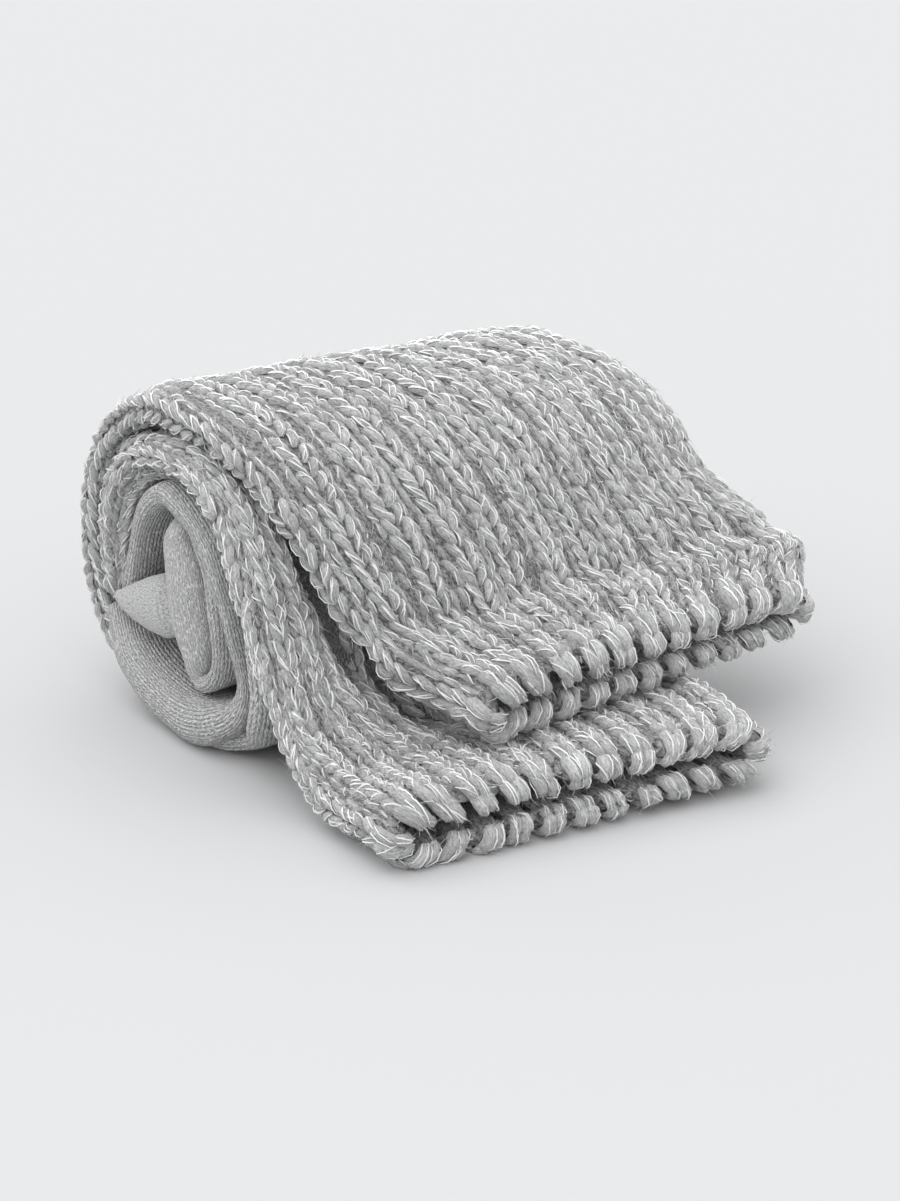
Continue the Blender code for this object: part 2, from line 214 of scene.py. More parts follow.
# A leg of a stitch, in courses along the rib and in shares of a rib across it.
LEG_BEHIND = 0.25
LEG_LENGTH = 1.48
LEG_CLOSE = 0.04
LEG_SPREAD = 0.15
LEG_SPREAD_VARIES = (0.8, 1.2)
LIP_SPREAD = 0.155
LIP_HOLD = 0.85
VALLEY_SPREAD = 0.36
VALLEY_SPREAD_VARIES = 0.03
VALLEY_SLANT_VARIES = 0.07
JITTER = 0.012
# The valley strands' tone is multiplied by this: painted shade in the valleys between the ribs.
VALLEY_SHADE = 0.8

# Inside the mouth the strands sink into the backing: how far, and from where to where, in lengths of the lip.
INSIDE_SINK = 3.2
INSIDE_FROM = 0.68
INSIDE_TO = 1.08
ABOVE = 0.5  # height of the points above a strand that give its outward direction

# Waves in which each rib sways sideways: share of a rib, millimetres for each radian, and phase for each rib.
Sway = namedtuple("Sway", "share length phase")
SWAYS = (Sway(0.05, 17.0, 2.3), Sway(0.03, 7.3, 5.1))

# Thread: how many strokes a strand has, and the longest one as a share of the strand.
Strokes = namedtuple("Strokes", "often longest")
RIB_STROKES = Strokes(1.7, 1.0)
VALLEY_STROKES = Strokes(0.9, 0.7)
THREAD_ROUND_YARN = 0.6  # radians to the side of the strand's top, and the turn along a stroke
THREAD_WINDS = 1.2
THREAD_CLEAR = 0.06
THREAD_BOWS_OUT = (0.02, 0.4)

# Fibres: width; how steeply they stand out, from and to; and the scale of the gamma curve of their lengths.
Fibres = namedtuple("Fibres", "width rise_from rise_to length")
NAP = Fibres(0.13, 0.02, 0.24, 0.6)
LOOSE = Fibres(0.065, 0.3, 1.3, 0.36)
FIBRE_GAMMA = 4.0
FIBRE_ALONG = (0.05, 0.95)
FIBRE_ROUND_YARN = 0.7
FIBRE_ROOT = (0.85, 1.0)
FIBRE_STRAYS = 0.6
FIBRE_CURLS_ASIDE = 0.5
FIBRE_CURLS_OUT = (-0.12, 0.2)

# Each strand lies at its own place in the material's pattern, and its length covers a part of it.
PATTERN_SIZE = 900
PATTERN_ALONG = 7.0

# A closed wall: points round it, spacing along it, its share of the ribs' height, and its inner skin's depth.
Shell = namedtuple("Shell", "around step rib_share depth")
LEG_SHELL = Shell(RIBS_AROUND * 7, 2.6, 1.0, 3.8)
UNDER_FOOT_SHELL = Shell(96, 2.0, 0.0, 1.8)
ROLLED_FOOT_SHELL = Shell(96, 1.2, 0.0, 1.6)
INNER_SKIN_COARSER = 3
INNER_SKIN_CLEAR = 0.35
INNER_SKIN_PLACE = 50.0  # where the inner skin lies in the material's pattern
BACKING_BELOW = 2.4
BACKING_BELOW_AT_LIP = 1.6
BACKING_RIBS = 1.35
BACKING_RIBS_AT_LIP = 2.4

# A sock's chunky leg: where it ends, the seed of its stitches, and how many fibres it has.
Leg = namedtuple("Leg", "name node slot end seed nap loose")
UPPER_LEG = Leg("upper_leg", "upper_sock", "upper_rib", 189.0, SEED + 1, 42000, 14000)
LOWER_LEG = Leg("lower_leg", "lower_sock", "lower_rib", 181.0, SEED + 2, 34000, 12000)

# Where stitches show: from one rib up to another, and along the sock, where None stands for over the lip.
# Hidden stretches have the backing alone.
Stretch = namedtuple("Stretch", "rib_from rib_to start end")
OVER_LIP = -1.1  # where stitches start, in lengths of the lip
UPPER_UNDERSIDE = 78.0  # how far along the upper sock the middle of its bottom layer shows
LOWER_UNDERSIDE = 12.0  # the same on the lower sock
LOWER_TOP = 100.0  # and on the lower sock's top layer
UPPER_STRETCHES = (
    Stretch(-4, 15, None, UPPER_LEG.end),
    Stretch(15, 20, None, UPPER_UNDERSIDE),
)
LOWER_STRETCHES = (
    Stretch(0, 13, None, LOWER_TOP),
    Stretch(-3, 0, None, LOWER_LEG.end),
    Stretch(0, 3, LOWER_TOP, LOWER_LEG.end),
    Stretch(10, 13, LOWER_TOP, LOWER_LEG.end),
    Stretch(13, 16, None, LOWER_LEG.end),
    Stretch(16, 21, None, LOWER_UNDERSIDE),
)


# ---------------------------------------------------------------- the socks' form
def unit(vectors):
    """Vectors scaled to length one."""
    return vectors / np.maximum(np.linalg.norm(vectors, axis=-1, keepdims=True), 1e-12)


def smooth_step(value, low, high):
    """0 below low, 1 above high, smooth between."""
    share = np.clip((value - low) / (high - low), 0.0, 1.0)
    return share * share * (3.0 - 2.0 * share)


def bell(value, middle, width):
    """1 at the middle, falling smoothly to 0 on both sides."""
    return np.exp(-(((value - middle) / width) ** 2))


def rib_profile(turn):
    """Height of a rib across the tube: 1 on its crest, 0 in the valley beside it."""
    phase = np.abs(np.mod(turn * RIBS_AROUND + 0.5, 1.0) - 0.5) * 2.0
    return 1.0 - phase**RIB_ROUNDNESS


def to_frame(x, y, z):
    """Table millimetres to the row frame's metres."""
    z = z * (1.0 + TALLER_NEAR * (1.0 - 2.0 * y / LENGTH_ALONG_ROLL))
    return np.stack([x - TABLE_MIDDLE[0], y - TABLE_MIDDLE[1], np.maximum(z, ABOVE_FLOOR)], -1) * METRES


def flat_tube(turn, half_width, half_thick, fold_depth):
    """Point and outward direction round a flattened tube, from its near fold."""
    straight = 2.0 * (half_width - half_thick * fold_depth)
    fold = math.pi * half_thick
    whole = 2.0 * (straight + fold)
    along = np.mod(np.mod(turn, 1.0) * whole + fold / 2, whole)
    near = along < fold
    top = ~near & (along < fold + straight)
    far = ~near & ~top & (along < 2 * fold + straight)
    middle = np.select(
        [near, top, far],
        [-straight / 2, -straight / 2 + along - fold, straight / 2],
        straight / 2 - (along - 2 * fold - straight),
    )
    near_angle = -math.pi / 2 - along / half_thick
    far_angle = math.pi / 2 - (along - fold - straight) / half_thick
    angle = np.select([near, top, far], [near_angle, math.pi / 2, far_angle], -math.pi / 2)
    out_across, out_up = np.cos(angle), np.sin(angle)
    return middle + half_thick * fold_depth * out_across, half_thick * out_up, out_across, out_up


def through_rows(table, place, wanted):
    """A table's columns at the wanted places, on a smooth curve through its rows."""
    slope = np.gradient(table, place, axis=0)
    row = np.clip(np.searchsorted(place, wanted, side="right") - 1, 0, len(place) - 2)
    width = np.diff(place)[row][:, None]
    t = (wanted - place[row])[:, None] / width
    return (
        (2 * t**3 - 3 * t**2 + 1) * table[row]
        + (t**3 - 2 * t**2 + t) * slope[row] * width
        + (3 * t**2 - 2 * t**3) * table[row + 1]
        + (t**3 - t**2) * slope[row + 1] * width
    )


def smoothed(columns, width):
    """Columns averaged over a rounded window of an odd width."""
    kernel = np.hanning(width)
    padded = np.pad(columns, ((width // 2, width // 2), (0, 0)), mode="edge")
    return np.stack([np.convolve(column, kernel / kernel.sum(), "valid") for column in padded.T], 1)


class Wall:
    """The knitted wall of a flattened sock: places on the fabric become points in the row frame.

    v is the distance along the fabric from the cuff's lip, and below 0 it goes over the lip and inside.
    turn is the fraction of the way round from the near fold, over the top layer to the far fold and back.
    height is the distance out of the plain wall.  All are arrays in millimetres, but for turn.
    swell adds height by place, crowd moves the ribs round the tube, and fold is how round the side folds are.
    """

    DENSE = 600
    SMOOTHED = 25

    def __init__(self, rows, swell, fold=1.0, crowd=None):
        self.swell, self.fold, self.crowd = swell, fold, crowd
        table = np.array(rows, float)
        steps = np.linalg.norm(np.diff(table[:, :2], axis=0), axis=1)
        row_place = np.concatenate([[0.0], np.cumsum(steps)])
        self.length = row_place[-1]
        self.place = np.linspace(0.0, self.length, self.DENSE)
        self.value = through_rows(table, row_place, self.place)
        self.direction = unit(smoothed(np.gradient(self.value[:, :2], self.place, axis=0), self.SMOOTHED))
        first = Section(*self.value[0])
        inner = first.thick / 2 - first.ribs - MOUTH_GAP / 2
        self.lip = math.pi * (inner / 2 + LIP_WALL / 2) / 2

    def girth(self):
        """How far it is round the flattened tube, on average."""
        rows = Section(*self.value.T)
        return 2.0 * (rows.far - rows.near).mean()

    def section(self, s):
        """Section and direction at distances along the sock, run straight on past its ends."""
        row = Section(*[np.interp(s, self.place, column) for column in self.value.T])
        tangent = unit(np.stack([np.interp(s, self.place, part) for part in self.direction.T], -1))
        beyond = np.maximum(s - self.length, 0.0) + np.minimum(s, 0.0)
        row = row._replace(x=row.x + beyond * tangent[..., 0], z=row.z + beyond * tangent[..., 1])
        return row, tangent

    def near_lip(self, v, reach=LIP_REACH):
        """1 at the middle of the lip, falling to 0 away from it."""
        return bell(v, -self.lip / 2, reach)

    def crowded(self, v, turn):
        """Where round the tube a place lies, once the ribs are crowded to one side."""
        if self.crowd is None:
            return turn
        return turn + self.crowd(v) * np.sin(2 * math.pi * turn) / math.pi

    def points(self, v, turn, height):
        """Points in the row frame."""
        v, turn, height = np.broadcast_arrays(np.asarray(v, float), turn, height)
        inside = np.maximum(-v - self.lip, 0.0)
        bend = np.clip(-v / self.lip, 0.0, 1.0) * math.pi
        row, tangent = self.section(np.where(v >= 0, v, inside))
        height = height + self.swell(v, turn) * np.cos(bend / 2)

        half_thick = row.thick / 2 - row.ribs
        gap = MOUTH_GAP + (SLIT_GAP - MOUTH_GAP) * smooth_step(inside, 0.0, SLIT_NARROWS)
        inset = (half_thick - gap / 2) * (1 - np.cos(bend)) / 2
        half_width = (row.far - row.near) / 2 - row.ribs - inset
        spot = self.crowded(v, turn)
        across, up, out_across, out_up = flat_tube(spot, half_width, half_thick - inset, self.fold)
        raised = height * np.cos(bend)
        across = across + out_across * raised
        up = up + out_up * raised + row.tilt * across

        chunky = row.ribs > CHUNKY_RIBS
        on_top = np.clip(2.0 * np.sin(2.0 * math.pi * turn), 0.0, 1.0)
        knob = KNOB_LENGTH * (rib_profile(turn) - KNOB_MIDDLE) * self.near_lip(v, KNOB_REACH) * chunky
        up = up - KNOB_DROOP * knob * on_top
        along = (LIP_WALL / 2 + height) * np.sin(bend) + row.slant * across + knob
        along = along - TOP_SHORT * on_top * (1.0 - smooth_step(v, 0.0, TOP_SHORT_REACH)) * chunky
        x = row.x - tangent[..., 0] * along + tangent[..., 1] * up
        z = row.z - tangent[..., 1] * along - tangent[..., 0] * up
        return to_frame(x, (row.near + row.far) / 2 + across, z)


# Waves in the wall: height, millimetres along for each radian, and radians for each turn round the tube.
Wave = namedtuple("Wave", "height length round")
UPPER_WAVE = Wave(0.35, 13.0, 31.0)
LOWER_WAVE = Wave(0.3, 11.0, 27.0)
FOOT_WAVES = (Wave(0.25, 6.3, 19.0), Wave(0.18, 3.1, -43.0))

# The step where the upper sock's cuff ends, which wanders round the tube: a ridge and then a trough.
CUFF_END = 19.0
CUFF_END_WANDERS = ((1.6, 37.0), (1.1, 83.0))
CUFF_STEP = 1.7
CUFF_RIDGE = (-4.0, 5.5)
CUFF_TROUGH = (5.0, 4.0)
CUFF_FADES = (25.0, 45.0)

# Lengthwise creases of the lower sock: depth; the rib that each follows, how it drifts to other ribs along
# the sock, and its width, in ribs; where it starts and is full, and where it starts to fade and has gone.
Crease = namedtuple("Crease", "depth rib drift width start full fades gone")
LOWER_CREASES = (
    Crease(9.5, 3.5, 0.022, 0.43, 48.0, 62.0, 94.0, 114.0),
    Crease(9.0, 4.6, 0.0, 0.42, 30.0, 44.0, 68.0, 88.0),
)
CREASE_MIDDLE = 63.0  # where along the sock a crease lies on its own rib

# Ribs crowd to the far side, or to the near one if the share is below 0: share, where it starts and is full.
UPPER_CROWD = (0.13, 8.0, 50.0)
LOWER_CROWD = (-0.15, 20.0, 62.0)


def wavy(v, turn, wave):
    """Height of a wave in the wall."""
    return wave.height * np.sin(v / wave.length + turn * wave.round)


def upper_swell(v, turn):
    """The upper sock's cuff stands proud of the leg, with a step where it ends and a soft trough beyond."""
    edge = CUFF_END + sum(size * np.sin(turn * often) for size, often in CUFF_END_WANDERS)
    ridge, dip = (bell(v, edge + offset, width) for offset, width in (CUFF_RIDGE, CUFF_TROUGH))
    return CUFF_STEP * (ridge - dip) + wavy(v, turn, UPPER_WAVE) * smooth_step(v, *CUFF_FADES)


def lower_swell(v, turn):
    """The lower sock is drawn into lengthwise creases where it climbs away from its cuff."""
    height = wavy(v, turn, LOWER_WAVE)
    for crease in LOWER_CREASES:
        middle = crease.rib - (v - CREASE_MIDDLE) * crease.drift
        depth = crease.depth * bell(turn * RIBS_AROUND, middle, crease.width)
        depth = depth * smooth_step(v, crease.start, crease.full)
        height = height - depth * (1.0 - smooth_step(v, crease.fades, crease.gone))
    return height


def foot_swell(v, turn):
    """Soft unevenness of the rolled feet."""
    return sum(wavy(v, turn, wave) for wave in FOOT_WAVES)


def upper_crowd(v):
    """The upper sock's ribs spread at its near side and crowd at its far side, away from the cuff."""
    share, start, full = UPPER_CROWD
    return share * smooth_step(v, start, full)


def lower_crowd(v):
    """The lower sock's ribs crowd at its near side where it climbs."""
    share, start, full = LOWER_CROWD
    return share * smooth_step(v, start, full)


# ---------------------------------------------------------------- meshes
def new_object(name, vertices, faces, material, smooth=True):
    """A mesh object of faces that all have the same number of corners."""
    mesh = bpy.data.meshes.new(name)
    vertices = np.asarray(vertices, np.float32)
    faces = np.asarray(faces, np.int32)
    mesh.vertices.add(len(vertices))
    mesh.vertices.foreach_set("co", vertices.ravel())
    mesh.loops.add(faces.size)
    mesh.loops.foreach_set("vertex_index", faces.ravel())
    mesh.polygons.add(len(faces))
    corners = faces.shape[1]
    mesh.polygons.foreach_set("loop_start", np.arange(0, faces.size, corners, dtype=np.int32))
    mesh.polygons.foreach_set("loop_total", np.full(len(faces), corners, np.int32))
    mesh.update(calc_edges=True)
    if smooth:
        mesh.shade_smooth()
    mesh.materials.append(material)
    item = bpy.data.objects.new(name, mesh)
    bpy.context.scene.collection.objects.link(item)
    return item


def add_numbers(item, name, values):
    """A number for each vertex, for the material."""
    numbers = item.data.attributes.new(name, "FLOAT", "POINT")
    numbers.data.foreach_set("value", np.asarray(values, np.float32).ravel())


def add_vectors(item, name, *parts):
    """A vector for each vertex, for the material, from its three parts."""
    vectors = item.data.attributes.new(name, "FLOAT_VECTOR", "POINT")
    vectors.data.foreach_set("vector", np.asarray(np.stack(parts, -1), np.float32).ravel())


def grid_faces(rows, columns, closed=False):
    """Quads of a grid of points, wrapped round both ways where it is closed."""
    r = np.arange(rows if closed else rows - 1)
    c = np.arange(columns if closed else columns - 1)
    r, c = np.meshgrid(r, c, indexing="ij")
    r2, c2 = (r + 1) % rows, (c + 1) % columns
    quads = np.stack([r * columns + c, r2 * columns + c, r2 * columns + c2, r * columns + c2], -1)
    return quads.reshape(-1, 4)


def many_grids(count, rows, columns):
    """Quads of many grids of the same size, one after the other."""
    first_point = (np.arange(count) * rows * columns)[:, None, None]
    return (grid_faces(rows, columns)[None] + first_point).reshape(-1, 4)


def strands(paths, normals, radius, strips):
    """Round-topped strands along many paths at once, open below: points, quads and each point's angle."""
    count, rings = paths.shape[:2]
    tangent = unit(np.gradient(paths, axis=1))
    side = unit(np.cross(tangent, normals))
    up = np.cross(side, tangent)
    angle = np.linspace(-STRAND_ARC, STRAND_ARC, strips + 1)
    radius = np.broadcast_to(radius, (count, rings))[..., None, None]
    ring = np.cos(angle)[:, None] * up[:, :, None, :] + np.sin(angle)[:, None] * side[:, :, None, :]
    points = paths[:, :, None, :] + radius * ring
    faces = many_grids(count, rings, strips + 1)
    return points.reshape(-1, 3), faces, np.broadcast_to(angle, (count, rings, strips + 1))


# ---------------------------------------------------------------- materials
# Sockets of the Mix node that serve colours.
MIX_FACTOR, MIX_A, MIX_B, MIX_RESULT = 0, 6, 7, 2

# Greys along a noise's values: place and grey.
YARN_GREYS = ((0.36, 0.22), (0.45, 0.54), (0.54, 0.70), (0.66, 0.94))
YARN_TONES = ((0.0, 0.82), (0.5, 0.98), (1.0, 1.14))
THREAD_GREYS = ((0.3, 0.84), (0.7, 0.97))
# The backing's greys are far darker than the yarn's: painted shade in the gaps between the stitches.
BACKING_SHADE_GREYS = ((0.36, 0.05), (0.48, 0.20), (0.62, 0.46))
FIBRE_GREYS = ((0.38, 0.22), (0.49, 0.58), (0.62, 0.94))
JERSEY_GREYS = ((0.36, 0.16), (0.48, 0.55), (0.62, 0.86))
JERSEY_FLECKS = ((0.56, 0.0), (0.61, 1.0))
FLECK_COLOUR = (0.95, 0.95, 0.95, 1.0)
DULL_SPECULAR = 0.25
SHEEN_ROUGHNESS = 0.55

# Relief, in metres.
YARN_RELIEF = 0.0008
BACKING_RELIEF = 0.0012
JERSEY_RELIEF = 0.0009

# Fine knit: width and height of a stitch, how much of its relief and flecks it has, and how bright it is; the
# relief also sets how dark the painted shade in its gaps is.
Jersey = namedtuple("Jersey", "name pitch course relief flecks bright")
FINE_JERSEY = Jersey("fine_jersey", 2.0, 1.7, 1.0, 0.85, 1.08)
# The toe's knit is brushed smoother, and painted darker: painted shade under the overhanging layers and on
# its side turned from the light.
SHADED_BRUSHED_JERSEY = Jersey("brushed_jersey_painted_shade", 1.6, 1.5, 0.3, 0.7, 0.80)
SMOOTH_LINING = Jersey("smooth_lining", 1.6, 1.5, 0.1, 0.1, 0.96)


def new_material(name):
    """A material, its node tree and its shader."""
    material = bpy.data.materials.new(name)
    material.use_nodes = True
    tree = material.node_tree
    return material, tree, tree.nodes["Principled BSDF"]


def feed(tree, value, socket):
    """A socket takes another's output, or a value of its own."""
    if isinstance(value, bpy.types.NodeSocket):
        tree.links.new(value, socket)
    else:
        socket.default_value = value


def ramp(tree, factor, stops):
    """Greys along a factor, very slightly cool."""
    node = tree.nodes.new("ShaderNodeValToRGB")
    elements = node.color_ramp.elements
    while len(elements) < len(stops):
        elements.new(0.5)
    for element, (place, grey) in zip(elements, stops):
        element.position = place
        element.color = (grey, grey * 1.002, grey * 1.004, 1.0)
    feed(tree, factor, node.inputs["Fac"])
    return node.outputs["Color"]


def noise(tree, vector, scale=1.0, detail=3.0, roughness=0.6, stretch=(1.0, 1.0, 1.0)):
    """Noise of a vector that is first stretched."""
    mapping = tree.nodes.new("ShaderNodeMapping")
    mapping.inputs["Scale"].default_value = stretch
    feed(tree, vector, mapping.inputs["Vector"])
    node = tree.nodes.new("ShaderNodeTexNoise")
    node.inputs["Scale"].default_value = scale
    node.inputs["Detail"].default_value = detail
    node.inputs["Roughness"].default_value = roughness
    feed(tree, mapping.outputs["Vector"], node.inputs["Vector"])
    return node.outputs["Fac"]


def attribute(tree, name, output):
    """A value that the mesh holds for each vertex."""
    node = tree.nodes.new("ShaderNodeAttribute")
    node.attribute_name = name
    return node.outputs[output]


def mix_colour(tree, factor, a, b, kind="MIX"):
    """Colours a and b mixed or multiplied."""
    node = tree.nodes.new("ShaderNodeMix")
    node.data_type = "RGBA"
    node.blend_type = kind
    for value, socket in ((factor, MIX_FACTOR), (a, MIX_A), (b, MIX_B)):
        feed(tree, value, node.inputs[socket])
    return node.outputs[MIX_RESULT]


def arithmetic(tree, operation, *values):
    """The result of a sum on one, two or three values."""
    node = tree.nodes.new("ShaderNodeMath")
    node.operation = operation
    for value, socket in zip(values, node.inputs):
        feed(tree, value, socket)
    return node.outputs[0]


def cloth_finish(tree, shader, colour, roughness, sheen):
    """A dull, slightly hairy surface of a colour."""
    feed(tree, colour, shader.inputs["Base Color"])
    shader.inputs["Roughness"].default_value = roughness
    shader.inputs["Specular IOR Level"].default_value = DULL_SPECULAR
    shader.inputs["Sheen Weight"].default_value = sheen
    shader.inputs["Sheen Roughness"].default_value = SHEEN_ROUGHNESS


def bump(tree, shader, height, strength, distance):
    """Relief of the surface."""
    node = tree.nodes.new("ShaderNodeBump")
    node.inputs["Strength"].default_value = strength
    node.inputs["Distance"].default_value = distance
    feed(tree, height, node.inputs["Height"])
    feed(tree, node.outputs["Normal"], shader.inputs["Normal"])


def yarn_material():
    """Marled grey yarn: fine light and dark fibres running along it, each strand of its own tone, which for
    the strands in the valleys also holds painted shade.
    """
    material, tree, shader = new_material("marled_yarn")
    along = attribute(tree, "yarn_place", "Vector")
    tone = attribute(tree, "tone", "Fac")
    fibres = noise(tree, along, detail=5.0, roughness=0.75, stretch=(1.2, 4.5, 4.5))
    colour = ramp(tree, fibres, YARN_GREYS)
    colour = mix_colour(tree, 1.0, colour, ramp(tree, tone, YARN_TONES), "MULTIPLY")
    cloth_finish(tree, shader, colour, roughness=0.9, sheen=0.3)
    bump(tree, shader, fibres, 0.9, YARN_RELIEF)
    return material


def thread_material():
    """Thin bright thread plied with the yarn."""
    material, tree, shader = new_material("white_thread")
    along = attribute(tree, "yarn_place", "Vector")
    fibres = noise(tree, along, scale=1.3, detail=2.0, roughness=0.5)
    cloth_finish(tree, shader, ramp(tree, fibres, THREAD_GREYS), roughness=0.6, sheen=0.15)
    return material


def shaded_backing_material():
    """The knit behind the stitches: fuzzy yarn, painted darker as shade in the gaps between the stitches."""
    material, tree, shader = new_material("knit_backing_painted_shade")
    place = attribute(tree, "cloth_place", "Vector")
    fibres = noise(tree, place, detail=4.0, roughness=0.7, stretch=(0.9, 1.8, 1.8))
    cloth_finish(tree, shader, ramp(tree, fibres, BACKING_SHADE_GREYS), roughness=0.92, sheen=0.3)
    bump(tree, shader, fibres, 0.9, BACKING_RELIEF)
    return material


def fibre_material():
    """Light and dark fibres on the yarn."""
    material, tree, shader = new_material("loose_fibres")
    shades = noise(tree, attribute(tree, "yarn_place", "Vector"), scale=0.8)
    cloth_finish(tree, shader, ramp(tree, shades, FIBRE_GREYS), roughness=0.8, sheen=0.2)
    return material


def jersey_height(tree, place, jersey):
    """Small knit: columns of V-shaped stitches, 0 in the gaps and 1 on the legs."""
    parts = tree.nodes.new("ShaderNodeSeparateXYZ")
    feed(tree, place, parts.inputs[0])
    column = arithmetic(tree, "FRACT", arithmetic(tree, "DIVIDE", parts.outputs["Y"], jersey.pitch))
    aside = arithmetic(tree, "ABSOLUTE", arithmetic(tree, "SUBTRACT", column, 0.5))
    courses = arithmetic(tree, "DIVIDE", parts.outputs["X"], jersey.course)
    row = arithmetic(tree, "FRACT", arithmetic(tree, "MULTIPLY_ADD", aside, 1.6, courses))
    across = arithmetic(tree, "SINE", arithmetic(tree, "MULTIPLY", aside, 2.0 * math.pi))
    along = arithmetic(tree, "SINE", arithmetic(tree, "MULTIPLY", row, math.pi))
    return arithmetic(tree, "MULTIPLY", across, arithmetic(tree, "MULTIPLY_ADD", along, 0.7, 0.3))


def jersey_material(jersey):
    """Fine smooth knit of the feet: small columns of V stitches with white flecks, and painted shade in the
    gaps between the stitches.
    """
    material, tree, shader = new_material(jersey.name)
    place = attribute(tree, "cloth_place", "Vector")
    legs = jersey_height(tree, place, jersey)
    fibres = noise(tree, place, detail=4.0, roughness=0.75, stretch=(1.4, 3.0, 3.0))
    flecks = noise(tree, place, detail=1.0, roughness=0.5, stretch=(0.6, 2.1, 2.1))
    colour = ramp(tree, fibres, [(spot, grey * jersey.bright) for spot, grey in JERSEY_GREYS])
    # Painted shade: the gaps between the legs are darkened, more so with more relief.
    gaps = ramp(tree, legs, ((0.0, 1.0 - 0.45 * jersey.relief), (0.55, 1.0)))
    colour = mix_colour(tree, 1.0, colour, gaps, "MULTIPLY")
    fleck_share = arithmetic(tree, "MULTIPLY", ramp(tree, flecks, JERSEY_FLECKS), jersey.flecks)
    colour = mix_colour(tree, fleck_share, colour, FLECK_COLOUR)
    cloth_finish(tree, shader, colour, roughness=0.9, sheen=0.35)
    fuzz = arithmetic(tree, "MULTIPLY", fibres, 0.6)
    bump(tree, shader, arithmetic(tree, "MULTIPLY_ADD", legs, jersey.relief, fuzz), 1.0, JERSEY_RELIEF)
    return material


# ---------------------------------------------------------------- stitches
# Strands of yarn, as arrays: the rib that each follows, where it starts, the length of its course, its side,
# tone and lift.  side is -1 or 1 for a leg on the rib, and -2 or 2 for a strand in the valley beside it.
Strands = namedtuple("Strands", "column v course side tone lift")
SIDES = (-1.0, 1.0, -2.0, 2.0)

# Many strands laid on the wall: centre lines and outward directions in metres, with their radius and tone.
Laid = namedtuple("Laid", "paths normals radius tone")


def joined(parts):
    """Several named tuples of arrays as one."""
    return type(parts[0])(*[np.concatenate(fields) for fields in zip(*parts)])


def chosen(yarns, which):
    """Some of the strands."""
    return Strands(*[field[which] for field in yarns])


def stitch_strands(rng, wall, stretch):
    """The two legs of every stitch in a stretch of ribs, and the two strands in the valleys beside it."""
    start = OVER_LIP * wall.lip if stretch.start is None else stretch.start
    rows = []
    for column in range(stretch.rib_from, stretch.rib_to):
        v = start + rng.uniform(0, COURSE)
        while v < stretch.end:
            course = COURSE * rng.uniform(*COURSE_VARIES)
            tone = rng.uniform(*TONES)
            for side in SIDES:
                own_tone = np.clip(tone + rng.uniform(-TONE_VARIES, TONE_VARIES), 0, 1)
                own_v = v + rng.uniform(-START_VARIES, START_VARIES)
                rows.append((column, own_v, course, side, own_tone, rng.normal(0, LIFT_VARIES)))
            v += course
    return Strands(*np.array(rows).T)


def in_valley(side):
    """Whether strands lie in the valley, not on the rib."""
    return np.abs(side) > 1.5


def rib_height(ribs, lift, t, spread):
    """Height of a leg on its rib: arched along its way, and lower the further it is from the crest."""
    arch = 0.95 * np.abs(2 * t - 0.9) ** 2.4
    down_rib = 0.5 * (spread / 0.2) ** 2
    return ribs - 0.35 + lift - arch - down_rib


def valley_height(ribs, lift, t, near_lip):
    """Height of a strand in the valley, deeper at the lip."""
    arch = 0.5 * np.abs(2 * t - 1) ** 2
    return ribs - 1.9 + 2.0 * lift - arch - 2.4 * near_lip


def lay(wall, yarns, radius, rng):
    """Centre line and outward direction of every leg or valley strand, fatter where it turns over the lip."""
    each = Strands(*[field[:, None] for field in yarns])
    count = (len(yarns.v), 1)
    t = np.linspace(0.0, 1.0, LEG_RINGS)[None]
    v = each.v + each.course * (-LEG_BEHIND + LEG_LENGTH * t)
    near_lip = wall.near_lip(v)
    spread = LEG_CLOSE + LEG_SPREAD * rng.uniform(*LEG_SPREAD_VARIES, count) * np.sin(t * 2.0)
    spread = spread + (LIP_SPREAD - spread) * LIP_HOLD * near_lip
    low_spread = VALLEY_SPREAD + rng.normal(0, VALLEY_SPREAD_VARIES, count)
    low_spread = low_spread + rng.normal(0, VALLEY_SLANT_VARIES, count) * (t - 0.5)
    valley = in_valley(each.side)
    aside = np.sign(each.side) * np.where(valley, low_spread, spread)
    sway = sum(wave.share * np.sin(v / wave.length + each.column * wave.phase) for wave in SWAYS)
    turn = (each.column + aside + sway + rng.normal(0, JITTER, count)) / RIBS_AROUND
    ribs = wall.section(np.abs(v))[0].ribs
    low = valley_height(ribs, each.lift, t, near_lip)
    height = np.where(valley, low, rib_height(ribs, each.lift, t, spread))
    height = height - INSIDE_SINK * smooth_step(-v, INSIDE_FROM * wall.lip, INSIDE_TO * wall.lip)
    paths = wall.points(v, turn, height)
    above = wall.points(v, turn, height + ABOVE)
    fat = radius * (1.0 + FATTER_AT_LIP * wall.near_lip(yarns.v))
    return Laid(paths, unit(above - paths), fat, yarns.tone)


def keep_above_floor(points):
    """Points with none below the floor."""
    points[:, 2] = np.maximum(points[:, 2], 0.0)
    return points


def taper(t):
    """Share of its full thickness that a strand has along its way."""
    return 1.0 - STRAND_TAPER * np.abs(2 * t - 1) ** 4


def pattern_place(rng, count, angle, t):
    """Where each point of each strand lies along its yarn, at random in the material's pattern."""
    return (t * PATTERN_ALONG + rng.uniform(0, PATTERN_SIZE, (count, 1)))[..., None] + 0 * angle


